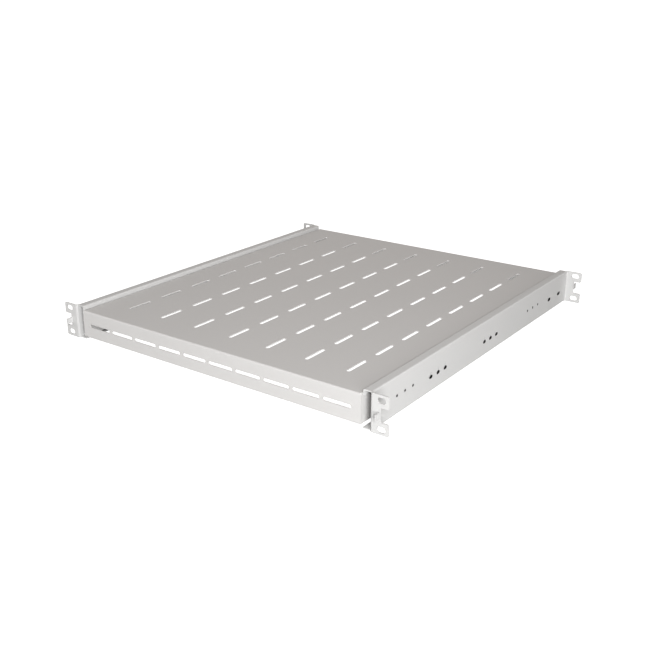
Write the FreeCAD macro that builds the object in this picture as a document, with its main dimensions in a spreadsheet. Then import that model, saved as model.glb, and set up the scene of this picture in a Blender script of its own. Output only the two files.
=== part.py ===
"""Sliding rack shelf: a slotted tray on ball-bearing slides between two lipped side rails."""
import FreeCAD, Part
import os
from math import sqrt

from FreeCAD import Vector

# Driving dimensions in millimetres. X runs across the rack, Y from front to rear and Z up.
# The origin is under the middle of the shelf, level with the underside of the rails.
SIZES = {
    # Ears: the rack's face standard fixes the span, the unit height and the places of the holes.
    "ear_span": 482.6,
    "ear_reach": 20.8,
    "ear_corner": 2.0,
    "rack_unit": 44.45,
    "rack_play": 0.85,
    "hole_inset": 8.75,
    "hole_length": 10.2,
    "hole_height": 6.5,
    "notch_depth": 10.0,
    "notch_height": 16.0,
    "notch_corner": 1.5,
    "hook_height": 6.8,
    "hook_reach": 8.0,
    # Rails: channels with a lip under the top flange, measured between the outer faces of their ears.
    "rail_length": 498.0,
    "rail_sheet": 1.5,
    "rail_bend": 0.3,
    "fold_bend": 1.0,
    "tray_clearance": 1.0,
    "lip_overlap": 1.7,
    # Holes in the rail web, measured from the ears and from the rear end of the slide.
    "rivet_first": 48.5,
    "rivet_last": 109.5,
    "rivet_shank": 3.2,
    "rivet_head": 5.4,
    "rivet_bore": 1.9,
    "keyhole_first": 118.5,
    "keyhole_length": 7.0,
    "keyhole_height": 4.0,
    "keyhole_neck": 2.4,
    "keyhole_rise": 5.5,
    "web_slot_last": 27.5,
    "web_slot_length": 9.0,
    "web_slot_height": 4.5,
    "web_slot_drop": 3.9,
    "web_slot_ease": 1.0,
    "hole_pitch": 16.0,
    # Tray: deck, front lip, side flanges and a shorter rear flange.
    "tray_rear_gap": 1.0,
    "tray_drop": 4.9,
    "tray_rise": 4.8,
    "tray_sheet": 1.2,
    "tray_bend": 0.8,
    "corner_slit": 0.3,
    "rear_flange_cut": 5.9,
    "deck_slot": 35.0,
    "deck_slot_width": 5.0,
    "deck_side_margin": 43.0,
    "deck_end_margin": 56.0,
    "deck_columns": 7,
    "deck_rows": 8,
    "lip_margin": 29.35,
    "lip_bridge": 4.7,
    "lip_slots": 10,
    "lip_slot_height": 4.2,
    "lip_slot_drop": 0.8,
    # Slides: three nested channels, measured from the inner face of the rail web towards the tray.
    "slide_width": 11.0,
    "slide_height": 35.0,
    "slide_gap": 2.8,
    "slide_setback": 22.0,
    "slide_rear_gap": 20.0,
    "slide_overlap": 36.0,
    "slide_sheet": 1.2,
    "slide_bend": 0.6,
    "race_margin": 0.9,
    "running_gap": 0.3,
    # Balls and the strips that keep them apart.
    "ball_size": 3.0,
    "ball_play": 0.1,
    "race_depth": 0.5,
    "retainer_sheet": 0.6,
    "retainer_bend": 0.4,
    "ball_margin": 8.0,
    "ball_pitch": 12.0,
    "ball_run": 3,
    # Buffers, stops and fasteners.
    "buffer_length": 8.0,
    "buffer_round": 1.5,
    "stop_size": 2.4,
    "stop_height": 1.1,
    "screw_first": 35.0,
    "screw_last": 95.0,
    "screw_count": 3,
    "screw_thread": 3.5,
    "screw_head": 7.0,
    "screw_head_height": 2.2,
    "screw_reach": 2.2,
    "cross_length": 4.0,
    "cross_width": 0.9,
    "cross_depth": 1.2,
    "fit_gap": 0.1,
}

# Dimensions that follow from the driving ones.
DERIVED = {
    "rail_span": "ear_span - 2 * ear_reach",
    "rail_height": "slide_height + 2 * slide_gap + 2 * rail_sheet",
    "ear_height": "rack_unit - rack_play",
    "hole_span": "ear_span - 2 * hole_inset",
    "hole_rise": "rack_unit * 5 / 7",
    "flange_width": "rail_sheet + slide_width - tray_clearance",
    "flange_lip": "tray_drop + lip_overlap",
    "flange_setback": "rail_sheet + fold_bend",
    "tray_width": "rail_span - 2 * rail_sheet - 2 * slide_width",
    "tray_depth": "rail_length - tray_rear_gap",
    "tray_height": "rail_height - tray_drop - tray_rise",
    "deck_pitch_x": "(tray_width - 2 * deck_side_margin) / (deck_columns - 1)",
    "deck_pitch_y": "(tray_depth - 2 * deck_end_margin) / (deck_rows - 1)",
    "lip_pitch": "(tray_width - 2 * lip_margin) / (lip_slots - 1)",
    "lip_slot": "lip_pitch - lip_bridge",
    "slide_length": "rail_length - slide_setback - slide_rear_gap",
    "travel": "slide_length - slide_overlap",
    "retainer_length": "travel / 2",
    "screw_pitch": "(slide_length - screw_first - screw_last) / (screw_count - 1)",
}

doc = FreeCAD.newDocument("SlidingRackShelf")
sheet = doc.addObject("Spreadsheet::Sheet", "Sizes")
cells = {alias: str(value) for alias, value in SIZES.items()}
cells.update({alias: "=" + formula for alias, formula in DERIVED.items()})
for row, (alias, content) in enumerate(cells.items(), start=1):
    sheet.set(f"A{row}", alias)
    sheet.set(f"B{row}", content)
    sheet.setAlias(f"B{row}", alias)
doc.recompute()


def mm(alias):
    """Value of one cell of the sheet."""
    return float(sheet.get(alias))


def count(alias):
    """Whole number held by one cell of the sheet."""
    return int(round(mm(alias)))


# Places along Y, as expressions of the sheet and as numbers.
FRONT = "(-Sizes.rail_length / 2)"
SLIDE_FRONT = f"({FRONT} + Sizes.slide_setback)"
OUTER_REAR = f"({SLIDE_FRONT} + Sizes.slide_length)"
MIDDLE_REAR = f"({OUTER_REAR} - Sizes.buffer_length - Sizes.running_gap)"
INNER_REAR = f"({MIDDLE_REAR} - Sizes.buffer_length - Sizes.running_gap)"
RETAINER_FRONT = f"({SLIDE_FRONT} + Sizes.travel / 4 + Sizes.buffer_length)"
RETAINER_REAR = f"({RETAINER_FRONT} + Sizes.retainer_length)"
front = -mm("rail_length") / 2
slide_front = front + mm("slide_setback")
slide_rear = slide_front + mm("slide_length")
retainer_front = slide_front + mm("travel") / 4 + mm("buffer_length")
stop_front = slide_front + mm("buffer_length") - mm("running_gap") - mm("stop_size") / 2
stop_rear = slide_front + mm("travel") + mm("buffer_length") + mm("running_gap") + mm("stop_size") / 2

# Places across X and up Z that several pieces share.
MIDDLE_HEIGHT = "(Sizes.rail_height / 2)"
DECK_TOP = "(Sizes.rail_height - Sizes.tray_drop)"
middle_height = mm("rail_height") / 2
web_outer = mm("rail_span") / 2
web_inner = web_outer - mm("rail_sheet")
tray_side = mm("tray_width") / 2
deck_top = mm("rail_height") - mm("tray_drop")
tray_bottom = deck_top - mm("tray_height")

# Slide section: places across its width, counted from the rail web, and half heights.
slide_sheet = mm("slide_sheet")
slide_corner = mm("slide_bend") + slide_sheet
race_radius = mm("ball_size") / 2 + mm("ball_play")
race_chord = sqrt(race_radius**2 - (race_radius - mm("race_depth"))**2)
retainer_step = mm("running_gap") + mm("retainer_sheet") + mm("running_gap")
outer_retainer_web = slide_sheet + mm("running_gap")
middle_web = slide_sheet + retainer_step
inner_retainer_web = middle_web + slide_sheet + mm("running_gap")
flange_tip = mm("slide_width") - slide_sheet
inner_tip = inner_retainer_web + mm("retainer_sheet") + 2 * mm("running_gap")
outer_race = middle_web + slide_corner + race_chord
outer_tip = outer_race + race_chord + mm("race_margin")
inner_race = mm("slide_width") - slide_corner - race_chord
outer_half = mm("slide_height") / 2
outer_ball = outer_half - slide_sheet + mm("race_depth") - race_radius
middle_half = outer_ball - race_radius + mm("race_depth")
inner_ball = middle_half - slide_sheet + mm("race_depth") - race_radius
inner_half = inner_ball - race_radius + mm("race_depth")
ball_window = mm("ball_size") / 2 + mm("fit_gap")


class Outline:
    """Closed run of lines and arcs for a sketch, placed by a function of two coordinates."""

    def __init__(self, place=lambda across, up: (across, up)):
        self.place = place
        self.edges = []
        self.at = None

    def point(self, across, up):
        return Vector(*self.place(across, up), 0)

    def start(self, across, up):
        self.at = self.point(across, up)
        self.first = self.at

    def line(self, across, up):
        end = self.point(across, up)
        if (end - self.at).Length > 1e-7:
            self.edges.append(Part.LineSegment(self.at, end))
        self.at = end

    def arc(self, through, across, up):
        end = self.point(across, up)
        self.edges.append(Part.Arc(self.at, self.point(*through), end))
        self.at = end

    def corner(self, centre, radius, toward, across, up):
        """Quarter round about centre, bulging toward a pair of signs."""
        lean = radius * sqrt(0.5)
        self.arc((centre[0] + toward[0] * lean, centre[1] + toward[1] * lean), across, up)

    def close(self):
        if (self.first - self.at).Length > 1e-7:
            self.edges.append(Part.LineSegment(self.at, self.first))
        return self.edges


def slide_place(across, up):
    """Place in the right-hand section: across from the rail web to the tray, up from mid height."""
    return web_inner - across, middle_height + up


def obround(centre, length, width, along_x=True):
    """Slot with round ends about a centre point."""
    half = (length - width) / 2
    round_end = width / 2

    def place(along, across):
        return (centre[0] + along, centre[1] + across) if along_x else (centre[0] - across, centre[1] + along)

    path = Outline(place)
    path.start(-half, -round_end)
    path.line(half, -round_end)
    path.arc((half + round_end, 0), half, round_end)
    path.line(-half, round_end)
    path.arc((-half - round_end, 0), -half, -round_end)
    return path.close()


def keyhole(centre):
    """Lying slot with a narrow neck that rises from its middle."""
    half = (mm("keyhole_length") - mm("keyhole_height")) / 2
    round_end = mm("keyhole_height") / 2
    neck = mm("keyhole_neck") / 2
    top = mm("keyhole_rise")
    path = Outline(lambda along, up: (centre[0] + along, centre[1] + up))
    path.start(-half, -round_end)
    path.line(half, -round_end)
    path.arc((half + round_end, 0), half, round_end)
    path.line(neck, round_end)
    path.line(neck, top - neck)
    path.arc((0, top), -neck, top - neck)
    path.line(-neck, round_end)
    path.line(-half, round_end)
    path.arc((-half - round_end, 0), -half, -round_end)
    return path.close()


def rectangle(low, high):
    """Four straight sides between two opposite corners."""
    path = Outline()
    path.start(*low)
    path.line(high[0], low[1])
    path.line(*high)
    path.line(low[0], high[1])
    return path.close()


def circle(centre, diameter):
    """Full round about a centre point."""
    return [Part.Circle(Vector(*centre, 0), Vector(0, 0, 1), diameter / 2)]


def channel(back, tip, half, sheet, bend, lip=0.0, outer_groove=None, inner_groove=None):
    """Section of a rolled channel: web at back, flanges to tip, with an upper lip or ball races."""
    sign = 1 if tip > back else -1
    big = bend + sheet
    depth = mm("race_depth")
    root = back + sign * big
    end = tip - sign * big
    path = Outline(slide_place)

    def race(at, face, floor, heading):
        path.line(at - heading * race_chord, face)
        path.arc((at, floor), at + heading * race_chord, face)

    def outside(up, heading):
        if outer_groove is not None:
            race(outer_groove, up * half, up * (half - depth), heading)

    def inside(up, heading):
        if inner_groove is not None:
            race(inner_groove, up * (half - sheet), up * (half - sheet + depth), heading)

    path.start(tip, -half + sheet)
    path.line(tip, -half)
    outside(-1, -sign)
    path.line(root, -half)
    path.corner((root, -half + big), big, (-sign, -1), back, -half + big)
    path.line(back, half - big)
    path.corner((root, half - big), big, (-sign, 1), root, half)
    outside(1, sign)
    if lip:
        path.line(end, half)
        path.corner((end, half - big), big, (sign, 1), tip, half - big)
        path.line(tip, half - lip)
        path.line(tip - sign * sheet, half - lip)
        path.line(tip - sign * sheet, half - big)
        path.corner((end, half - big), bend, (sign, 1), end, half - sheet)
    else:
        path.line(tip, half)
        path.line(tip, half - sheet)
    inside(1, -sign)
    path.line(root, half - sheet)
    path.corner((root, half - big), bend, (-sign, 1), back + sign * sheet, half - big)
    path.line(back + sign * sheet, -half + big)
    path.corner((root, -half + big), bend, (-sign, -1), root, -half + sheet)
    inside(-1, sign)
    return path.close()


def new_body(label):
    """Empty body that carries one piece."""
    body = doc.addObject("PartDesign::Body", label)
    body.Label = label
    return body


def sketch(body, role, label, edges, offset="0"):
    """Sketch on one of the body's own planes, moved along the plane's normal by an expression."""
    made = body.newObject("Sketcher::SketchObject", label)
    plane = next(feature for feature in body.Origin.OriginFeatures if feature.Role == role)
    made.AttachmentSupport = (plane, [""])
    made.MapMode = "FlatFace"
    made.setExpression("AttachmentOffset.Base.z", offset)
    made.addGeometry(edges, False)
    doc.recompute()
    return made


def pad(body, profile, label, length, symmetric=False, reverse=False):
    """Sheet or block grown from a sketch, along its normal unless reversed."""
    made = body.newObject("PartDesign::Pad", label)
    made.Profile = profile
    made.SideType = "Symmetric" if symmetric else "One side"
    made.Reversed = reverse
    made.setExpression("Length", length)
    doc.recompute()
    return made


def pocket(body, profile, label, length, reverse=False):
    """Cut of a given depth, against the sketch's normal unless reversed."""
    before = body.Shape.Volume
    made = body.newObject("PartDesign::Pocket", label)
    made.Profile = profile
    made.Reversed = reverse
    made.setExpression("Length", length)
    doc.recompute()
    if body.Shape.Volume >= before:
        raise RuntimeError(f"{label} cuts nothing")
    return made


def pocket_through(body, profile, label):
    """Cut right through the body on both sides of the sketch."""
    made = body.newObject("PartDesign::Pocket", label)
    made.Profile = profile
    made.Type = "ThroughAll"
    made.SideType = "Symmetric"
    doc.recompute()
    return made


def pattern(body, feature, profile, label, pitch, copies, row_pitch=None, rows=None):
    """Row of copies along the sketch's X, and a grid along its Y where rows are given."""
    made = body.newObject("PartDesign::LinearPattern", label)
    made.Originals = [feature]
    made.Direction = (profile, ["H_Axis"])
    made.Mode = "Extent"
    made.setExpression("Length", f"{pitch} * ({copies} - 1)")
    made.setExpression("Occurrences", copies)
    if rows:
        made.Direction2 = (profile, ["V_Axis"])
        made.Mode2 = "Extent"
        made.setExpression("Length2", f"{row_pitch} * ({rows} - 1)")
        made.setExpression("Occurrences2", rows)
    body.Tip = made
    doc.recompute()
    return made


def named(kind, shape, wanted):
    """Names of the edges or faces of a shape that a test accepts."""
    found = shape.Edges if kind == "Edge" else shape.Faces
    return [f"{kind}{number}" for number, item in enumerate(found, start=1) if wanted(item)]


def round_edges(body, feature, label, radius, wanted):
    """Fillet on the edges of a feature that a test accepts."""
    made = body.newObject("PartDesign::Fillet", label)
    made.Base = (feature, named("Edge", feature.Shape, wanted))
    made.setExpression("Radius", radius)
    doc.recompute()
    return made


def left_of(source, label):
    """Left-hand twin of a right-hand piece, mirrored across the middle of the shelf."""
    made = doc.addObject("Part::Mirroring", label)
    made.Label = label
    made.Source = source
    made.Normal = Vector(1, 0, 0)
    return made


def group(label, solids):
    """Like pieces that share one node."""
    made = doc.addObject("Part::Feature", label)
    made.Label = label
    made.Shape = Part.makeCompound(solids)
    return made


def rivet_places():
    """Y of the rivets: a row of three near each end of the slide."""
    starts = (front + mm("rivet_first"), slide_rear - mm("rivet_last"))
    return [start + step * mm("hole_pitch") for start in starts for step in range(3)]


def keyhole_places():
    """Y of the keyholes in the rail web: two rows of three."""
    first = front + mm("keyhole_first")
    steps = [row * 8 + step for row in range(2) for step in range(3)]
    return [first + step * mm("hole_pitch") for step in steps]


def web_slot_places():
    """Y of the two plain slots in the rail web, near the rear ear."""
    last = -front - mm("web_slot_last")
    return [last - 2 * mm("hole_pitch"), last]


def screw_places():
    """Y of the screws between the tray and the inner slide members."""
    first = slide_front + mm("screw_first")
    return [first + step * mm("screw_pitch") for step in range(count("screw_count"))]


def make_tray():
    """Deck folded down on all four sides, slit at the corners, with slots punched in deck and lip."""
    body = new_body("tray")
    outline = sketch(body, "XY_Plane", "TrayPlan",
                     rectangle((-tray_side, front), (tray_side, front + mm("tray_depth"))),
                     f"{DECK_TOP} - Sizes.tray_height")
    block = pad(body, outline, "TrayBlock", "Sizes.tray_height")
    shell = body.newObject("PartDesign::Thickness", "TraySheet")
    shell.Base = (block, named("Face", block.Shape, lambda face: face.BoundBox.ZMax < tray_bottom + 1e-4))
    shell.Reversed = True
    shell.Join = "Intersection"
    shell.setExpression("Value", "Sizes.tray_sheet")
    doc.recompute()
    deck_under = deck_top - mm("tray_sheet")
    outside = round_edges(body, shell, "TrayFolds", "Sizes.tray_bend + Sizes.tray_sheet",
                          lambda edge: edge.BoundBox.ZMin > deck_top - 1e-4)
    round_edges(body, outside, "TrayInnerFolds", "Sizes.tray_bend",
                lambda edge: abs(edge.BoundBox.ZMin - deck_under) + edge.BoundBox.ZLength < 1e-4)

    slit_top = deck_under - mm("tray_bend")
    behind_lip = front + mm("tray_sheet")
    before_rear = front + mm("tray_depth") - mm("tray_sheet")
    gaps = rectangle((behind_lip, tray_bottom - mm("tray_sheet")), (behind_lip + mm("corner_slit"), slit_top))
    gaps += rectangle((before_rear - mm("corner_slit"), tray_bottom - mm("tray_sheet")), (before_rear, slit_top))
    slits = sketch(body, "YZ_Plane", "CornerSlits", gaps)
    pocket_through(body, slits, "CornerSlitCut")

    rear_low = (-tray_side + mm("slide_width"), tray_bottom - mm("tray_sheet"))
    rear_high = (tray_side - mm("slide_width"), tray_bottom + mm("rear_flange_cut"))
    rear_cut = sketch(body, "XZ_Plane", "RearEdge", rectangle(rear_low, rear_high),
                      f"-({FRONT} + Sizes.tray_depth)")
    pocket(body, rear_cut, "RearFlangeCut", "2 * Sizes.tray_sheet", reverse=True)

    first = (-tray_side + mm("deck_side_margin"), front + mm("deck_end_margin"))
    deck_slot = sketch(body, "XY_Plane", "DeckSlot",
                       obround(first, mm("deck_slot"), mm("deck_slot_width"), along_x=False), DECK_TOP)
    deck_cut = pocket(body, deck_slot, "DeckSlotCut", "2 * Sizes.tray_sheet")
    pattern(body, deck_cut, deck_slot, "DeckSlots", "Sizes.deck_pitch_x", "Sizes.deck_columns",
            "Sizes.deck_pitch_y", "Sizes.deck_rows")

    first = (-tray_side + mm("lip_margin"), middle_height - mm("lip_slot_drop"))
    lip_slot = sketch(body, "XZ_Plane", "LipSlot",
                      obround(first, mm("lip_slot"), mm("lip_slot_height")), f"-{FRONT}")
    lip_cut = pocket(body, lip_slot, "LipSlotCut", "2 * Sizes.tray_sheet")
    pattern(body, lip_cut, lip_slot, "LipSlots", "Sizes.lip_pitch", "Sizes.lip_slots")

    holes = []
    for y in screw_places():
        holes += circle((y, middle_height), mm("screw_thread") + 2 * mm("fit_gap"))
    screw_holes = sketch(body, "YZ_Plane", "ScrewHoles", holes)
    pocket_through(body, screw_holes, "ScrewHoleCut")
    return body


def ear_outline():
    """Face of one ear: two rounded tabs with a notch between them and a slotted hole in each tab."""
    inner = web_inner + mm("fold_bend") + mm("rail_sheet")
    outer = mm("ear_span") / 2
    notch = outer - mm("notch_depth")
    round_tab = mm("ear_corner")
    round_in = mm("notch_corner")
    foot = middle_height - mm("ear_height") / 2
    top = middle_height + mm("ear_height") / 2
    low = middle_height - mm("notch_height") / 2
    high = middle_height + mm("notch_height") / 2
    path = Outline()
    path.start(inner, foot)
    path.line(outer - round_tab, foot)
    path.corner((outer - round_tab, foot + round_tab), round_tab, (1, -1), outer, foot + round_tab)
    path.line(outer, low - round_tab)
    path.corner((outer - round_tab, low - round_tab), round_tab, (1, 1), outer - round_tab, low)
    path.line(notch + round_in, low)
    path.corner((notch + round_in, low + round_in), round_in, (-1, -1), notch, low + round_in)
    path.line(notch, high - round_in)
    path.corner((notch + round_in, high - round_in), round_in, (-1, 1), notch + round_in, high)
    path.line(outer - round_tab, high)
    path.corner((outer - round_tab, high + round_tab), round_tab, (1, -1), outer, high + round_tab)
    path.line(outer, top - round_tab)
    path.corner((outer - round_tab, top - round_tab), round_tab, (1, 1), outer - round_tab, top)
    path.line(inner, top)
    edges = path.close()
    for rise in (-mm("hole_rise") / 2, mm("hole_rise") / 2):
        centre = (mm("hole_span") / 2, middle_height + rise)
        edges += obround(centre, mm("hole_length"), mm("hole_height"))
    return edges


def ear_bend():
    """Plan of the fold between the ear and the web, with a short run of web behind it."""
    bend = mm("fold_bend")
    big = bend + mm("rail_sheet")
    centre = (web_inner + big, front + big)
    web_end = front + mm("flange_setback") + mm("rail_sheet")
    path = Outline()
    path.start(centre[0], front)
    path.corner(centre, big, (-1, -1), web_inner, centre[1])
    path.line(web_inner, web_end)
    path.line(web_outer, web_end)
    path.line(web_outer, centre[1])
    path.corner(centre, bend, (-1, -1), centre[0], front + mm("rail_sheet"))
    return path.close()


def hook_plan():
    """Plan of the small tab folded out of the notch, which hooks in the rack post."""
    sheet_gauge = mm("rail_sheet")
    bend = mm("fold_bend")
    face = mm("ear_span") / 2 - mm("notch_depth")
    centre = (face - sheet_gauge - bend, front - bend)
    path = Outline()
    path.start(centre[0] - sheet_gauge, front)
    path.line(centre[0], front)
    path.corner(centre, bend, (1, 1), face - sheet_gauge, centre[1])
    path.line(face - sheet_gauge, front - mm("hook_reach"))
    path.line(face, front - mm("hook_reach"))
    path.line(face, centre[1])
    path.corner(centre, bend + sheet_gauge, (1, 1), centre[0], front + sheet_gauge)
    path.line(centre[0] - sheet_gauge, front + sheet_gauge)
    return path.close()


def make_rail():
    """Right-hand rail: lipped channel with an ear folded outward at each end and a punched web."""
    body = new_body("rail_right")
    section = sketch(body, "XZ_Plane", "RailSection",
                     channel(-mm("rail_sheet"), mm("flange_width") - mm("rail_sheet"), middle_height,
                             mm("rail_sheet"), mm("rail_bend"), lip=mm("flange_lip")))
    pad(body, section, "RailChannel", "Sizes.rail_length - 2 * Sizes.flange_setback", symmetric=True)
    fold = sketch(body, "XY_Plane", "EarFoldPlan", ear_bend(), MIDDLE_HEIGHT)
    ear_fold = pad(body, fold, "EarFold", "Sizes.ear_height", symmetric=True)
    face = sketch(body, "XZ_Plane", "EarFace", ear_outline(), f"-{FRONT} - Sizes.rail_sheet")
    ear = pad(body, face, "Ear", "Sizes.rail_sheet")
    hook = sketch(body, "XY_Plane", "HookPlan", hook_plan(), MIDDLE_HEIGHT)
    ear_hook = pad(body, hook, "Hook", "Sizes.hook_height", symmetric=True)
    rear = body.newObject("PartDesign::Mirrored", "RearEar")
    rear.Originals = [ear_fold, ear, ear_hook]
    rear.MirrorPlane = (next(f for f in body.Origin.OriginFeatures if f.Role == "XZ_Plane"), [""])
    body.Tip = rear
    doc.recompute()

    holes = []
    for y in rivet_places():
        holes += circle((y, middle_height), mm("rivet_shank") + 2 * mm("fit_gap"))
    slot_middle = middle_height - mm("web_slot_drop")
    for y in keyhole_places():
        holes += keyhole((y, slot_middle))
    for y in web_slot_places():
        holes += obround((y, slot_middle), mm("web_slot_length"), mm("web_slot_height"))
    punched = sketch(body, "YZ_Plane", "WebHoles", holes, "Sizes.rail_span / 2")
    pocket(body, punched, "WebHoleCut", "Sizes.rail_sheet + Sizes.running_gap")
    return body


def make_member(label, edges, rear, length):
    """Rolled slide member: one channel section run along Y and ending at the rear place."""
    body = new_body(label)
    section = sketch(body, "XZ_Plane", label + "_section", edges, f"-{rear}")
    pad(body, section, label + "_run", length)
    return body


def add_stops(body, race, face, inward, place):
    """Pressed studs in the upper and lower race, which meet the end of the ball strip."""
    inner = face - slide_sheet / 2
    for label, side in (("upper", 1), ("lower", -1)):
        spot = sketch(body, "XY_Plane", f"{body.Label}_{label}_stop_{place[0]}",
                      circle((web_inner - race, place[1]), mm("stop_size")),
                      f"{MIDDLE_HEIGHT} + {side * inner}")
        pad(body, spot, f"{body.Label}_{label}_stud_{place[0]}", "Sizes.slide_sheet / 2 + Sizes.stop_height",
            reverse=inward == (side > 0))


def make_outer_member():
    """Fixed slide member, with countersunk rivet holes and an opening behind each slot of the rail."""
    edges = channel(0, outer_tip, outer_half, slide_sheet, mm("slide_bend"), inner_groove=outer_race)
    body = make_member("slide_outer_right", edges, OUTER_REAR, "Sizes.slide_length")
    ease = mm("web_slot_ease")
    slot_middle = middle_height - mm("web_slot_drop")
    neck_middle = slot_middle + (mm("keyhole_rise") - mm("keyhole_height") / 2) / 2
    openings = []
    for y in keyhole_places():
        openings += obround((y, neck_middle), mm("keyhole_rise") + mm("keyhole_height") / 2 + 2 * ease,
                            mm("keyhole_length") + 2 * ease, along_x=False)
    for y in web_slot_places():
        openings += obround((y, slot_middle), mm("web_slot_length") + 2 * ease, mm("web_slot_height") + 2 * ease)
    seen = sketch(body, "YZ_Plane", "OuterWebHoles", openings, "Sizes.rail_span / 2 - Sizes.rail_sheet")
    pocket(body, seen, "OuterWebHoleCut", "2 * Sizes.slide_sheet")
    add_stops(body, outer_race, outer_half, True, ("front", stop_front))
    centres = []
    for y in rivet_places():
        centres += circle((y, middle_height), mm("rivet_shank"))
    drill = sketch(body, "YZ_Plane", "RivetHoles", centres,
                   "Sizes.rail_span / 2 - Sizes.rail_sheet - Sizes.slide_sheet")
    hole = body.newObject("PartDesign::Hole", "RivetHoleCut")
    hole.Profile = drill
    hole.Reversed = True
    hole.DepthType = "Dimension"
    hole.HoleCutType = "Countersink"
    hole.HoleCutCustomValues = True
    hole.setExpression("Diameter", "Sizes.rivet_shank + 2 * Sizes.fit_gap")
    hole.setExpression("Depth", "2 * Sizes.slide_sheet")
    hole.setExpression("HoleCutDiameter", "Sizes.rivet_head + 2 * Sizes.fit_gap")
    hole.HoleCutCountersinkAngle = 90
    doc.recompute()
    return body


def make_middle_member():
    """Travelling member: races outside for the fixed member's balls and inside for the tray's."""
    edges = channel(middle_web, flange_tip, middle_half, slide_sheet, mm("slide_bend"),
                    outer_groove=outer_race, inner_groove=inner_race)
    body = make_member("slide_middle_right", edges, MIDDLE_REAR, f"{MIDDLE_REAR} - {SLIDE_FRONT}")
    add_stops(body, inner_race, middle_half, True, ("front", stop_front))
    add_stops(body, outer_race, middle_half, False, ("rear", stop_rear))
    return body


def make_inner_member():
    """Member on the tray: its web lies on the tray's side flange and its flanges face the rail."""
    edges = channel(mm("slide_width"), inner_tip, inner_half, slide_sheet, mm("slide_bend"),
                    outer_groove=inner_race)
    body = make_member("slide_inner_right", edges, INNER_REAR, f"{INNER_REAR} - {SLIDE_FRONT}")
    holes = []
    for y in screw_places():
        holes += circle((y, middle_height), mm("screw_thread") + 2 * mm("fit_gap"))
    tapped = sketch(body, "YZ_Plane", "InnerHoles", holes, "Sizes.tray_width / 2")
    pocket(body, tapped, "InnerHoleCut", "2 * Sizes.slide_sheet", reverse=True)
    add_stops(body, inner_race, inner_half, False, ("rear", stop_rear))
    return body


def ball_rows():
    """Y of the balls in one race: a run at each end of the retainer."""
    run = range(count("ball_run"))
    lead = [mm("ball_margin") + step * mm("ball_pitch") for step in run]
    trail = [mm("retainer_length") - place for place in lead]
    return [retainer_front + place for place in lead + trail]


def make_retainer(label, web, race, ball_height):
    """Thin channel that carries the balls of one pair of members in round windows."""
    gauge = mm("retainer_sheet")
    tip = race + ball_window + gauge
    edges = channel(web, tip, ball_height + gauge / 2, gauge, mm("retainer_bend"))
    body = make_member(label, edges, RETAINER_REAR, "Sizes.retainer_length")
    windows = []
    for y in ball_rows():
        windows += circle((web_inner - race, y), 2 * ball_window)
    cut = sketch(body, "XY_Plane", label + "_windows", windows, MIDDLE_HEIGHT)
    pocket_through(body, cut, label + "_window_cut")
    return body


def make_balls(label, race, ball_height):
    """Balls of one pair of members, in an upper and a lower race."""
    rows = [middle_height - ball_height, middle_height + ball_height]
    places = [Vector(web_inner - race, y, z) for z in rows for y in ball_rows()]
    return group(label, [Part.makeSphere(mm("ball_size") / 2, place) for place in places])


def make_buffer(label, near, far, half, rear):
    """Soft block across the rear end of a member, seated on its web."""
    body = new_body(label)
    low = slide_place(far, -half)
    high = slide_place(near, half)
    face = sketch(body, "XZ_Plane", label + "_face", rectangle(low, high), f"-{rear}")
    block = pad(body, face, label + "_block", "Sizes.buffer_length")
    round_edges(body, block, label + "_round", "Sizes.buffer_round",
                lambda edge: abs(edge.BoundBox.YLength - mm("buffer_length")) < 1e-4
                and edge.BoundBox.XMax < web_inner - near - 1e-4)
    return body


def make_rivets():
    """Flush rivets: countersunk in the fixed member, hollow end level with the face of the rail."""
    radius = mm("rivet_shank") / 2
    head = mm("rivet_head") / 2
    cone = head - radius
    along = Vector(1, 0, 0)
    solids = []
    for y in rivet_places():
        seat = Vector(web_inner - slide_sheet, y, middle_height)
        shank = Part.makeCylinder(radius, mm("rail_sheet") + slide_sheet, seat, along)
        sunk = Part.makeCone(head, radius, cone, seat, along)
        mouth = Vector(web_inner, y, middle_height)
        hollow = Part.makeCylinder(mm("rivet_bore") / 2, mm("rail_sheet"), mouth, along)
        solids.append(shank.fuse(sunk).cut(hollow).removeSplitter())
    return group("rail_rivets_right", solids)


def make_screws():
    """Cross-recessed pan-head screws from inside the tray through its flange into the inner member."""
    seat = tray_side - mm("tray_sheet")
    head = mm("screw_head") / 2
    height = mm("screw_head_height")
    thread = mm("screw_thread") / 2
    length = mm("tray_sheet") + slide_sheet + mm("screw_reach")
    path = Outline()
    path.start(seat + length, 0)
    path.line(seat + length, thread)
    path.line(seat, thread)
    path.line(seat, head)
    path.line(seat - height / 3, head)
    path.arc((seat - 0.8 * height, 0.75 * head), seat - height, thread / 2)
    path.line(seat - height, 0)
    profile = Part.Face(Part.Wire([edge.toShape() for edge in path.close()]))
    screw = profile.revolve(Vector(0, 0, 0), Vector(1, 0, 0), 360)
    arm = mm("cross_length") / 2
    web = mm("cross_width") / 2
    for wide, high in ((arm, web), (web, arm)):
        corner = Vector(seat - height, -wide, -high)
        screw = screw.cut(Part.makeBox(mm("cross_depth"), 2 * wide, 2 * high, corner))
    places = [Vector(0, y, middle_height) for y in screw_places()]
    return group("tray_screws_right", [screw.translated(place) for place in places])


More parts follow.
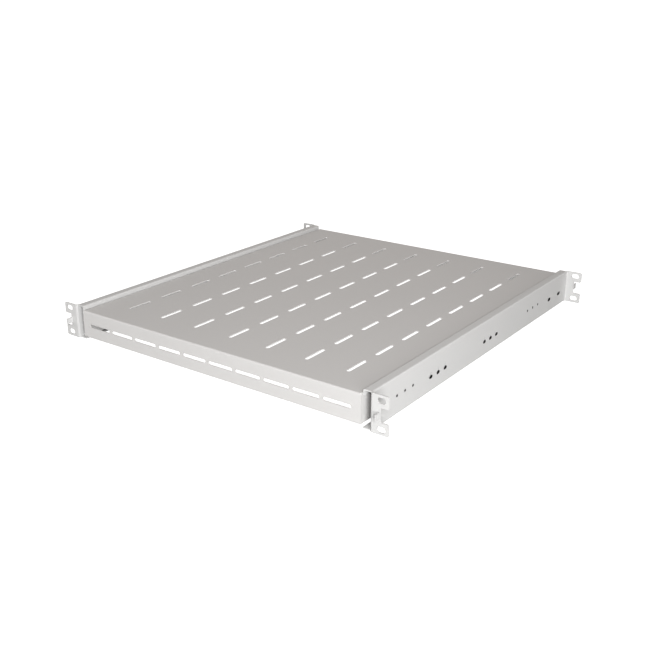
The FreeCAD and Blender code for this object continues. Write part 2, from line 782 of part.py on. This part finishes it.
right_pieces = [
    make_rail(),
    make_outer_member(),
    make_middle_member(),
    make_inner_member(),
    make_retainer("retainer_outer_right", outer_retainer_web, outer_race, outer_ball),
    make_retainer("retainer_inner_right", inner_retainer_web, inner_race, inner_ball),
    make_balls("balls_outer_right", outer_race, outer_ball),
    make_balls("balls_inner_right", inner_race, inner_ball),
    make_buffer("bumper_outer_right", slide_sheet, outer_tip - mm("running_gap"),
                outer_half - slide_corner, OUTER_REAR),
    make_buffer("bumper_middle_right", middle_web + slide_sheet, flange_tip - mm("running_gap"),
                middle_half - slide_corner, MIDDLE_REAR),
    make_rivets(),
    make_screws(),
]
left_pieces = [left_of(piece, piece.Label.replace("_right", "_left")) for piece in right_pieces]
nodes = [make_tray()] + right_pieces + left_pieces
doc.recompute()

for item in doc.Objects:
    if {"Invalid", "Error"} & set(item.State):
        raise RuntimeError(f"{item.Label} failed: {item.State}")
for node in nodes:
    if node.Shape.isNull() or not node.Shape.isValid():
        raise RuntimeError(f"{node.Label} has no valid shape")

os.makedirs("parts", exist_ok=True)
for node in nodes:
    node.Shape.exportStep(f"parts/{node.Label}.step")
    print(node.Label, len(node.Shape.Solids), round(node.Shape.Volume, 1))
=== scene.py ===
"""Sliding rack shelf in light grey powder coat, as it lies on a pale studio floor."""
from math import radians

import bpy
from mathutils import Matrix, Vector


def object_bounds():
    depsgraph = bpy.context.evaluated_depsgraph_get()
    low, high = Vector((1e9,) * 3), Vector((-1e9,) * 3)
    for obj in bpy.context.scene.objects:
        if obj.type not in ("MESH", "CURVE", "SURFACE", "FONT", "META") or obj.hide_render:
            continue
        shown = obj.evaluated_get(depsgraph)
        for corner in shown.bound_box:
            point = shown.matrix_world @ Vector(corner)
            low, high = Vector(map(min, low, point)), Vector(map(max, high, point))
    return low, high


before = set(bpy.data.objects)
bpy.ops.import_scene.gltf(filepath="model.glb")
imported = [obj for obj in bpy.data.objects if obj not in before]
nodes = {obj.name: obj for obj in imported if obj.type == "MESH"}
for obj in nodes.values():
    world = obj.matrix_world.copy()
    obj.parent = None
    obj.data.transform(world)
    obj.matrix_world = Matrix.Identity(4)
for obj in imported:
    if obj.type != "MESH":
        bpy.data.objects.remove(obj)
cad_low, cad_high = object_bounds()


# Side rails: 1.5 mm steel folded to a lipped channel, with an ear turned out at each end.
# They are sprayed light grey with a satin powder coat, whose fine orange peel breaks the gloss.
# The walls of the web holes are painted near-black: painted shade, so the holes read as deep and
# dark.
SIDES = ("left", "right")
RAIL_GREY = (0.65, 0.65, 0.645, 1.0)
COAT_ROUGHNESS = 0.62
COAT_ROUGHNESS_SPREAD = 0.05
COAT_SPECULAR = 0.4
PEEL_DEPTH = 0.00003
# Painted shade: the near-black colour given to the hole walls.
SLOT_PAINTED_SHADE = (0.012, 0.012, 0.012, 1.0)
SLOT_REACH = 0.2265
RAIL_SLOT_WALLS = {"Inner Face": 0.2188, "Outer Face": 0.22045, "Foot": 0.0150, "Head": 0.0199,
                   "Half Length": SLOT_REACH}


def place_node(tree, kind, x, y, **inputs):
    """A shader node at a place in its tree, with some of its inputs set."""
    made = tree.nodes.new(kind)
    made.location = (x, y)
    for name, value in inputs.items():
        made.inputs[name].default_value = value
    return made


def new_group(name, takes, gives):
    """An empty shader node group with named number inputs and typed outputs."""
    group = bpy.data.node_groups.new(name, "ShaderNodeTree")
    for label, value in takes.items():
        socket = group.interface.new_socket(label, in_out="INPUT", socket_type="NodeSocketFloat")
        socket.default_value = value
    for label, kind in gives.items():
        group.interface.new_socket(label, in_out="OUTPUT", socket_type=kind)
    source = place_node(group, "NodeGroupInput", -900, 0)
    sink = place_node(group, "NodeGroupOutput", 600, 0)
    return group, source, sink


def orange_peel_group():
    """The skin of cured powder: fine pimples on a slow wave, with a hint of uneven tone."""
    takes = {"Pimple Scale": 900.0, "Wave Scale": 160.0, "Tone Scale": 9.0, "Tone Depth": 0.03}
    gives = {"Height": "NodeSocketFloat", "Tone": "NodeSocketFloat"}
    group, source, sink = new_group("orange_peel", takes, gives)
    where = place_node(group, "ShaderNodeTexCoord", -900, -300)
    pimples = place_node(group, "ShaderNodeTexNoise", -600, 250, Detail=2.0, Roughness=0.5)
    wave = place_node(group, "ShaderNodeTexNoise", -600, 0, Detail=1.0, Roughness=0.4)
    blotch = place_node(group, "ShaderNodeTexNoise", -600, -250, Detail=3.0, Roughness=0.55)
    for noise, scale in ((pimples, "Pimple Scale"), (wave, "Wave Scale"), (blotch, "Tone Scale")):
        group.links.new(where.outputs["Object"], noise.inputs["Vector"])
        group.links.new(source.outputs[scale], noise.inputs["Scale"])
    peel = place_node(group, "ShaderNodeMath", -300, 150)
    peel.operation = "ADD"
    group.links.new(pimples.outputs["Fac"], peel.inputs[0])
    group.links.new(wave.outputs["Fac"], peel.inputs[1])
    centred = place_node(group, "ShaderNodeMath", -300, -150)
    centred.operation = "SUBTRACT"
    centred.inputs[1].default_value = 0.5
    group.links.new(blotch.outputs["Fac"], centred.inputs[0])
    tone = place_node(group, "ShaderNodeMath", 0, -150)
    tone.operation = "MULTIPLY_ADD"
    tone.inputs[2].default_value = 1.0
    group.links.new(centred.outputs[0], tone.inputs[0])
    group.links.new(source.outputs["Tone Depth"], tone.inputs[1])
    group.links.new(peel.outputs[0], sink.inputs["Height"])
    group.links.new(tone.outputs[0], sink.inputs["Tone"])
    return group


def new_material(name):
    """A material with an empty tree but for its shader and its output."""
    made = bpy.data.materials.new(name)
    made.use_nodes = True
    tree = made.node_tree
    tree.nodes.clear()
    shader = place_node(tree, "ShaderNodeBsdfPrincipled", 300, 0)
    out = place_node(tree, "ShaderNodeOutputMaterial", 600, 0)
    tree.links.new(shader.outputs["BSDF"], out.inputs["Surface"])
    return made, tree, shader


def tint(tree, colour, factor, x, y):
    """A colour darkened or lightened by a number that changes over the surface."""
    mixed = place_node(tree, "ShaderNodeMix", x, y)
    mixed.data_type = "RGBA"
    mixed.blend_type = "MULTIPLY"
    mixed.inputs["Factor"].default_value = 1.0
    mixed.inputs["A"].default_value = colour
    tree.links.new(factor, mixed.inputs["B"])
    return mixed.outputs["Result"]


def set_number(tree, base, spread, source, x, y):
    """A number that rises from a base value by a spread, as a mask says."""
    made = place_node(tree, "ShaderNodeMath", x, y)
    made.operation = "MULTIPLY_ADD"
    made.inputs[1].default_value = spread
    made.inputs[2].default_value = base
    tree.links.new(source, made.inputs[0])
    return made.outputs[0]


ORANGE_PEEL = orange_peel_group()


def powder_coat(name, colour):
    """Satin powder coat of one colour, with its peel as a shallow bump."""
    made, tree, shader = new_material(name)
    skin = place_node(tree, "ShaderNodeGroup", -500, 0)
    skin.node_tree = ORANGE_PEEL
    bump = place_node(tree, "ShaderNodeBump", 0, -250, Strength=1.0, Distance=PEEL_DEPTH)
    tree.links.new(skin.outputs["Height"], bump.inputs["Height"])
    tree.links.new(bump.outputs["Normal"], shader.inputs["Normal"])
    toned = tint(tree, colour, skin.outputs["Tone"], -200, 200)
    tree.links.new(toned, shader.inputs["Base Color"])
    rough = set_number(tree, COAT_ROUGHNESS - COAT_ROUGHNESS_SPREAD, COAT_ROUGHNESS_SPREAD,
                       skin.outputs["Height"], -200, -100)
    tree.links.new(rough, shader.inputs["Roughness"])
    shader.inputs["Specular IOR Level"].default_value = COAT_SPECULAR
    return made


def dress(node, finish):
    """Gives a finish to the mesh that the frame brings for one node."""
    for slot in nodes[node].material_slots:
        slot.material = finish


def slot_wall_group():
    """A mask of hole walls: what lies within a web, between two heights and short of its ends."""
    takes = {"Inner Face": 0.0, "Outer Face": 1.0, "Foot": 0.0, "Head": 1.0, "Half Length": 1.0}
    group, source, sink = new_group("slot_walls", takes, {"Mask": "NodeSocketFloat"})
    where = place_node(group, "ShaderNodeTexCoord", -900, -300)
    split = place_node(group, "ShaderNodeSeparateXYZ", -700, -300)
    group.links.new(where.outputs["Object"], split.inputs[0])

    def math(operation, first, second, x, y):
        made = place_node(group, "ShaderNodeMath", x, y)
        made.operation = operation
        group.links.new(first, made.inputs[0])
        if second:
            group.links.new(second, made.inputs[1])
        return made.outputs[0]

    across = math("ABSOLUTE", split.outputs["X"], None, -500, 0)
    along = math("ABSOLUTE", split.outputs["Y"], None, -500, -200)
    height = split.outputs["Z"]
    mask = math("LESS_THAN", along, source.outputs["Half Length"], -300, -600)
    tests = ((across, "GREATER_THAN", "Inner Face"), (across, "LESS_THAN", "Outer Face"),
             (height, "GREATER_THAN", "Foot"), (height, "LESS_THAN", "Head"))
    for row, (value, test, limit) in enumerate(tests):
        passed = math(test, value, source.outputs[limit], -300, 200 - 200 * row)
        mask = math("MULTIPLY", mask, passed, 150 * row - 100, -400)
    group.links.new(mask, sink.inputs["Mask"])
    return group


SLOT_WALLS = slot_wall_group()


def painted_shade_slots(made, limits):
    """Paints shade on the hole walls of a coated or plated web, which lie within some limits: they
    turn near-black and, on metal, lose their metal.
    """
    tree = made.node_tree
    shader = next(node for node in tree.nodes if node.type == "BSDF_PRINCIPLED")
    finish = shader.inputs["Base Color"].links[0].from_socket
    walls = place_node(tree, "ShaderNodeGroup", -200, 450)
    walls.node_tree = SLOT_WALLS
    for label, value in limits.items():
        walls.inputs[label].default_value = value
    mixed = place_node(tree, "ShaderNodeMix", 50, 350)
    mixed.data_type = "RGBA"
    mixed.inputs["B"].default_value = SLOT_PAINTED_SHADE
    tree.links.new(walls.outputs["Mask"], mixed.inputs["Factor"])
    tree.links.new(finish, mixed.inputs["A"])
    tree.links.new(mixed.outputs["Result"], shader.inputs["Base Color"])
    if shader.inputs["Metallic"].default_value > 0:
        shade_metallic = set_number(tree, 1.0, -1.0, walls.outputs["Mask"], 50, 150)
        tree.links.new(shade_metallic, shader.inputs["Metallic"])
    return made


rail_coat = painted_shade_slots(powder_coat("light_grey_rail_coat", RAIL_GREY), RAIL_SLOT_WALLS)
for side in SIDES:
    dress(f"rail_{side}", rail_coat)


# Outer slide members: cold-rolled strip, zinc plated bright, riveted flat against the rails.
# The rolls leave faint lines along the strip, and the plating is slightly blue and cloudy.
ZINC = (0.60, 0.61, 0.63, 1.0)
ZINC_ROUGHNESS = 0.34
ZINC_CLOUDS = 30.0
FILM_SHADE = 0.85
FILM_SPREAD = 0.3
LINE_STRETCH = (1500.0, 12.0, 1500.0)
LINE_DEPTH = 0.00001
LINE_ROUGHNESS_SPREAD = 0.16
SLIDE_SLOT_WALLS = {"Inner Face": 0.21785, "Outer Face": 0.2192, "Foot": 0.0140, "Head": 0.0210,
                    "Half Length": SLOT_REACH}


def rolled_lines_group():
    """Marks of the rolls: streaks that run along Y, with a slow cloud over them."""
    gives = {"Lines": "NodeSocketFloat", "Cloud": "NodeSocketFloat"}
    group, source, sink = new_group("rolled_lines", {"Cloud Scale": ZINC_CLOUDS}, gives)
    where = place_node(group, "ShaderNodeTexCoord", -900, -300)
    stretch = place_node(group, "ShaderNodeMapping", -700, 200, Scale=LINE_STRETCH)
    lines = place_node(group, "ShaderNodeTexNoise", -400, 200, Scale=1.0, Detail=3.0, Roughness=0.6)
    cloud = place_node(group, "ShaderNodeTexNoise", -400, -150, Detail=4.0, Roughness=0.6)
    group.links.new(where.outputs["Object"], stretch.inputs["Vector"])
    group.links.new(stretch.outputs["Vector"], lines.inputs["Vector"])
    group.links.new(where.outputs["Object"], cloud.inputs["Vector"])
    group.links.new(source.outputs["Cloud Scale"], cloud.inputs["Scale"])
    group.links.new(lines.outputs["Fac"], sink.inputs["Lines"])
    group.links.new(cloud.outputs["Fac"], sink.inputs["Cloud"])
    return group


ROLLED_LINES = rolled_lines_group()


def plated_strip(name, colour, roughness, cloud_scale):
    """Bright plated steel with rolling lines and a cloudy film."""
    made, tree, shader = new_material(name)
    marks = place_node(tree, "ShaderNodeGroup", -700, 0)
    marks.node_tree = ROLLED_LINES
    marks.inputs["Cloud Scale"].default_value = cloud_scale
    film = set_number(tree, FILM_SHADE, FILM_SPREAD, marks.outputs["Cloud"], -450, 200)
    tree.links.new(tint(tree, colour, film, -200, 200), shader.inputs["Base Color"])
    rough = set_number(tree, roughness - LINE_ROUGHNESS_SPREAD / 2, LINE_ROUGHNESS_SPREAD,
                       marks.outputs["Lines"], -450, -50)
    tree.links.new(rough, shader.inputs["Roughness"])
    bump = place_node(tree, "ShaderNodeBump", 0, -250, Strength=0.6, Distance=LINE_DEPTH)
    tree.links.new(marks.outputs["Lines"], bump.inputs["Height"])
    tree.links.new(bump.outputs["Normal"], shader.inputs["Normal"])
    shader.inputs["Metallic"].default_value = 1.0
    return made


# The slot walls of the outer slide members get the same painted shade, near-black and not metal.
zinc_strip = painted_shade_slots(plated_strip("bright_zinc_strip", ZINC, ZINC_ROUGHNESS, ZINC_CLOUDS),
                           SLIDE_SLOT_WALLS)
for side in SIDES:
    dress(f"slide_outer_{side}", zinc_strip)


# Rail rivets: hollow steel rivets sunk flush in the slide and spread in the rail web.
# They are phosphated to a dull black with a fine crystal grain.
RIVET_BLACK = (0.045, 0.045, 0.047, 1.0)
RIVET_GRAIN = 4000.0
CRYSTAL_DEPTH = 0.00001
GRAIN_SHADE = 0.8
GRAIN_SPREAD = 0.4
BLACK_ROUGHNESS = 0.5
BLACK_ROUGHNESS_SPREAD = 0.15


def dull_black(name, colour, grain_scale, grain_depth):
    """Black skin with a fine grain, as on phosphated steel or moulded plastic."""
    made, tree, shader = new_material(name)
    where = place_node(tree, "ShaderNodeTexCoord", -800, 0)
    grain = place_node(tree, "ShaderNodeTexNoise", -600, 0, Scale=grain_scale, Detail=2.0)
    tree.links.new(where.outputs["Object"], grain.inputs["Vector"])
    shade = set_number(tree, GRAIN_SHADE, GRAIN_SPREAD, grain.outputs["Fac"], -300, 200)
    tree.links.new(tint(tree, colour, shade, 0, 200), shader.inputs["Base Color"])
    rough = set_number(tree, BLACK_ROUGHNESS, BLACK_ROUGHNESS_SPREAD,
                       grain.outputs["Fac"], -300, -50)
    tree.links.new(rough, shader.inputs["Roughness"])
    bump = place_node(tree, "ShaderNodeBump", 0, -250, Strength=0.5, Distance=grain_depth)
    tree.links.new(grain.outputs["Fac"], bump.inputs["Height"])
    tree.links.new(bump.outputs["Normal"], shader.inputs["Normal"])
    return made


rivet_black = dull_black("phosphated_rivet", RIVET_BLACK, RIVET_GRAIN, CRYSTAL_DEPTH)
for side in SIDES:
    dress(f"rail_rivets_{side}", rivet_black)


# Ball strips: thin pressed steel that keeps the balls apart, phosphated dull black and oiled.
# Each slide has one strip round the middle member and one inside it.
# Their near-black colour is partly painted shade: it makes the web holes in front of them read
# dark.
# Painted shade, in part: the strips' near-black colour.
STRIP_BLACK_AND_SHADE = (0.03, 0.03, 0.03, 1.0)
STRIP_GRAIN = 3000.0
strip_black_and_shade = dull_black("ball_strip_black_and_shade", STRIP_BLACK_AND_SHADE, STRIP_GRAIN, CRYSTAL_DEPTH)
for side in SIDES:
    dress(f"retainer_outer_{side}", strip_black_and_shade)
    dress(f"retainer_inner_{side}", strip_black_and_shade)


# Balls: hardened steel, ground and polished, with a thin film of grease.
# They roll in the grooves of the flanges and carry the whole tray.
BALL_STEEL = (0.72, 0.73, 0.74, 1.0)
BALL_ROUGHNESS = 0.05
GREASE_ROUGHNESS = 0.2
GREASE_PATCHES = 700.0
GREASE_SHADE = 0.9
GREASE_SPREAD = 0.15


def bearing_steel():
    """Polished steel under patches of clear grease."""
    made, tree, shader = new_material("greased_ball_steel")
    where = place_node(tree, "ShaderNodeTexCoord", -800, 0)
    grease = place_node(tree, "ShaderNodeTexNoise", -600, 0, Scale=GREASE_PATCHES, Detail=2.0)
    tree.links.new(where.outputs["Object"], grease.inputs["Vector"])
    rough = set_number(tree, BALL_ROUGHNESS, GREASE_ROUGHNESS, grease.outputs["Fac"], -300, -50)
    tree.links.new(rough, shader.inputs["Roughness"])
    shade = set_number(tree, GREASE_SHADE, GREASE_SPREAD, grease.outputs["Fac"], -300, 200)
    tree.links.new(tint(tree, BALL_STEEL, shade, 0, 200), shader.inputs["Base Color"])
    shader.inputs["Metallic"].default_value = 1.0
    return made


ball_steel = bearing_steel()
for side in SIDES:
    dress(f"balls_outer_{side}", ball_steel)
    dress(f"balls_inner_{side}", ball_steel)


# Middle slide members: the same plated strip, rolled smaller, with grooves on both faces.
# They come forward half as far as the tray.
for side in SIDES:
    dress(f"slide_middle_{side}", zinc_strip)


# Inner slide members: the same plated strip again, rolled to the smallest channel.
# They are screwed to the side flanges of the tray and come forward with it.
for side in SIDES:
    dress(f"slide_inner_{side}", zinc_strip)


# Buffers: blocks moulded in black plastic with a matt grain, pressed across the rear ends of
# the outer and middle members, where they take the blow of the tray as it is pushed home.
BUFFER_BLACK = (0.02, 0.02, 0.021, 1.0)
BUFFER_GRAIN = 2500.0
BUFFER_GRAIN_DEPTH = 0.00004
buffer_black = dull_black("matt_black_buffer", BUFFER_BLACK, BUFFER_GRAIN, BUFFER_GRAIN_DEPTH)
for side in SIDES:
    dress(f"bumper_outer_{side}", buffer_black)
    dress(f"bumper_middle_{side}", buffer_black)


# Tray: one 1.2 mm sheet, punched with rows of slots and folded down on all four sides.
# It has the same powder coat as the rails, a shade warmer on the broad deck.
DECK_GREY = (0.647, 0.639, 0.63, 1.0)
tray_coat = powder_coat("light_grey_tray_coat", DECK_GREY)
dress("tray", tray_coat)


# Tray screws: pan-head machine screws in zinc plated steel, put in from inside the tray.
# They pass through its side flanges and hold it on the inner slide members.
SCREW_ZINC = (0.58, 0.59, 0.60, 1.0)
SCREW_ROUGHNESS = 0.3
SCREW_CLOUDS = 300.0
screw_zinc = plated_strip("screw_zinc", SCREW_ZINC, SCREW_ROUGHNESS, SCREW_CLOUDS)
for side in SIDES:
    dress(f"tray_screws_{side}", screw_zinc)


# Studio: a white table without edges, which glows under the shelf, with two soft boxes off the
# front right corner and weaker ones to the left, above and behind. The table and the air are white
# for the lens only: to the shelf the table is matt grey paper, and the air is dim and warm.
FLOOR_HALF = 40.0
FLOOR_DROP = 0.0002
FLOOR_ROUGHNESS = 0.9
PAPER_GREY = (0.5, 0.5, 0.5, 1.0)
PURE_WHITE = (1.0, 1.0, 1.0)
WARM_WHITE = (1.0, 0.935, 0.89)
LENS_WHITE = 1.0
AIR_LIGHT = 0.2
floor_white, floor_tree, floor_shader = new_material("floor_white")
floor_shader.inputs["Base Color"].default_value = PAPER_GREY
floor_shader.inputs["Roughness"].default_value = FLOOR_ROUGHNESS
floor_shader.inputs["Specular IOR Level"].default_value = 0.0
floor_shader.inputs["Emission Color"].default_value = (*PURE_WHITE, 1.0)
ray = place_node(floor_tree, "ShaderNodeLightPath", -300, -200)
glow = place_node(floor_tree, "ShaderNodeMath", 0, -200)
glow.operation = "MULTIPLY"
glow.inputs[1].default_value = LENS_WHITE
floor_tree.links.new(ray.outputs["Is Camera Ray"], glow.inputs[0])
floor_tree.links.new(glow.outputs[0], floor_shader.inputs["Emission Strength"])
bpy.ops.object.select_all(action="DESELECT")
bpy.ops.mesh.primitive_plane_add(size=2 * FLOOR_HALF, location=(0, 0, cad_low[2] - FLOOR_DROP))
floor = bpy.context.object
floor.name = "floor"
floor.data.materials.append(floor_white)

world = bpy.data.worlds.new("studio_air")
world.use_nodes = True
air_tree = world.node_tree
air = air_tree.nodes["Background"]
air.inputs["Color"].default_value = (*WARM_WHITE, 1.0)
air.inputs["Strength"].default_value = AIR_LIGHT
backdrop = place_node(air_tree, "ShaderNodeBackground", 0, -200,
                      Color=(*PURE_WHITE, 1.0), Strength=LENS_WHITE)
lens_ray = place_node(air_tree, "ShaderNodeLightPath", 0, 400)
seen = place_node(air_tree, "ShaderNodeMixShader", 250, 200)
air_tree.links.new(lens_ray.outputs["Is Camera Ray"], seen.inputs["Fac"])
air_tree.links.new(air.outputs["Background"], seen.inputs[1])
air_tree.links.new(backdrop.outputs["Background"], seen.inputs[2])
air_tree.links.new(seen.outputs["Shader"], air_tree.nodes["World Output"].inputs["Surface"])
bpy.context.scene.world = world


def soft_box(name, place, aim, width, height, watts, colour=PURE_WHITE):
    """A rectangular lamp that faces a point and is itself out of the picture."""
    bpy.ops.object.select_all(action="DESELECT")
    bpy.ops.object.light_add(type="AREA", location=place)
    lamp = bpy.context.object
    lamp.name = name
    lamp.data.shape = "RECTANGLE"
    lamp.data.size = width
    lamp.data.size_y = height
    lamp.data.energy = watts
    lamp.data.color = colour
    lamp.visible_camera = False
    lamp.rotation_euler = (Vector(aim) - Vector(place)).to_track_quat("-Z", "Y").to_euler()


FRONT_RIGHT = (0.1, -0.1, 0.02)
soft_box("main_box", place=(1.375, -1.525, 0.98), aim=FRONT_RIGHT,
         width=0.9, height=0.45, watts=34.0)
soft_box("low_box", place=(1.08, -0.98, 0.18), aim=FRONT_RIGHT,
         width=0.5, height=0.3, watts=7.2)
soft_box("left_box", place=(-0.7, -1.0, 0.6), aim=(-0.05, -0.1, 0.02),
         width=0.7, height=0.5, watts=2.8)
soft_box("top_box", place=(-0.1, 0.45, 1.0), aim=(0.0, 0.2, 0.02),
         width=0.8, height=0.5, watts=1.0, colour=WARM_WHITE)
soft_box("back_box", place=(-0.8, 1.2, 0.45), aim=(0.0, 0.1, 0.02),
         width=0.9, height=0.6, watts=1.7, colour=WARM_WHITE)
soft_box("table_glow", place=(0.0, 0.0, 0.0006), aim=(0.0, 0.0, 1.0),
         width=0.40, height=0.47, watts=0.345)


# Camera: at the photograph's place, a little above the shelf and off its front right corner.
# The angles turn it from a level look towards +Y, and the lens is given for a 36 mm sensor.
CAMERA_PLACE = (0.6614, -0.9328, 0.4200)
CAMERA_AZIMUTH = 36.03
CAMERA_ELEVATION = 20.62
CAMERA_SENSOR = 36.0
CAMERA_LENS = 50.42
CAMERA_NEAR = 0.01
camera_data = bpy.data.cameras.new("camera")
camera_data.sensor_width = CAMERA_SENSOR
camera_data.lens = CAMERA_LENS
camera_data.clip_start = CAMERA_NEAR
camera = bpy.data.objects.new("camera", camera_data)
camera.location = CAMERA_PLACE
camera.rotation_euler = (radians(90 - CAMERA_ELEVATION), 0, radians(CAMERA_AZIMUTH))
bpy.context.scene.collection.objects.link(camera)
bpy.context.scene.camera = camera
bpy.context.scene.view_settings.view_transform = "Standard"
